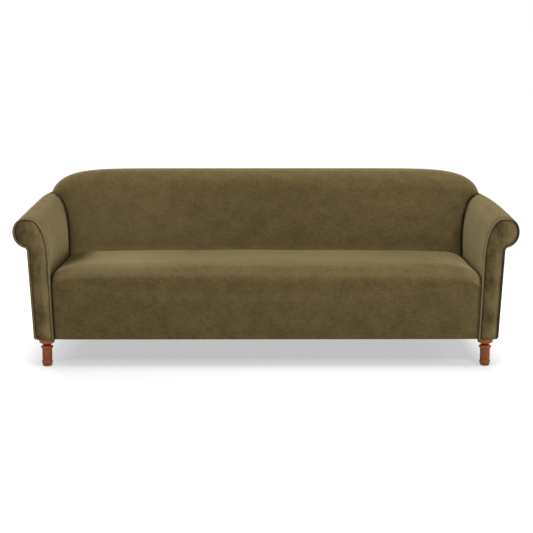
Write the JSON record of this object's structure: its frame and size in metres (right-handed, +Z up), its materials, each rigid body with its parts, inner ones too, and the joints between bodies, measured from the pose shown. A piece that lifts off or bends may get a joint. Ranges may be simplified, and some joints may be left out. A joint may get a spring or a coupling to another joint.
{
  "type": "english roll arm sofa",
  "caption": "Upholstered sofa with rolled arms that slope to the front, a tight sprung seat, a tight arched back with rounded shoulders, and turned wooden front legs.",
  "frame": {"origin": "on the floor, under the middle of the sofa", "axes": "+X along the width towards the arm on the right in the picture, the front faces -Y, +Z up"},
  "size_m": [2.1182, 0.8416, 0.795],
  "materials": {
    "velvet": "matt moss-olive cotton velvet",
    "foam": "open-cell foam with wadding",
    "beech": "planed beech, unfinished",
    "plywood": "plywood, unfinished",
    "stained_wood": "red-brown stain, satin lacquer",
    "steel": "plain spring and bolt steel",
    "felt": "grey needled felt",
    "dust_cloth": "black non-woven dust cloth"
  },
  "bodies": {
    "root": {"side_rail_right": "beech", "side_rail_left": "beech", "seat_stretcher_right": "beech", "seat_stretcher_left": "beech", "front_corner_block_right": "beech", "front_corner_block_left": "beech", "rear_corner_block_right": "beech", "rear_corner_block_left": "beech", "arm_front_post_right": "plywood", "arm_front_post_left": "plywood", "back_post_right": "plywood", "back_post_left": "plywood", "arm_top_board_right": "beech", "arm_top_board_left": "beech", "arm_tack_rail_right": "beech", "arm_tack_rail_left": "beech", "back_upright_right": "plywood", "back_upright_left": "plywood", "arm_pad_right": "foam", "arm_pad_left": "foam", "arm_cover_right": "velvet", "arm_cover_left": "velvet", "arm_facing_right": "velvet", "arm_facing_left": "velvet", "arm_piping_right": "velvet", "arm_piping_left": "velvet", "front_leg_right": "stained_wood", "front_leg_left": "stained_wood", "rear_leg_right": "stained_wood", "rear_leg_left": "stained_wood", "front_leg_bolt_right": "steel", "front_leg_bolt_left": "steel", "rear_leg_bolt_right": "steel", "rear_leg_bolt_left": "steel", "front_rail": "beech", "rear_spring_rail": "beech", "back_top_rail": "plywood", "back_tack_rail": "beech", "back_bottom_rail": "beech", "back_support_panel": "plywood", "seat_spring_1": "steel", "seat_spring_2": "steel", "seat_spring_3": "steel", "seat_spring_4": "steel", "seat_spring_5": "steel", "seat_spring_6": "steel", "seat_spring_7": "steel", "seat_spring_8": "steel", "seat_spring_9": "steel", "seat_spring_10": "steel", "spring_insulator": "felt", "seat_foam": "foam", "seat_cover": "velvet", "back_foam": "foam", "back_cover": "velvet", "outside_back_cover": "velvet", "dust_cover": "dust_cloth"}
  },
  "joints": []
}
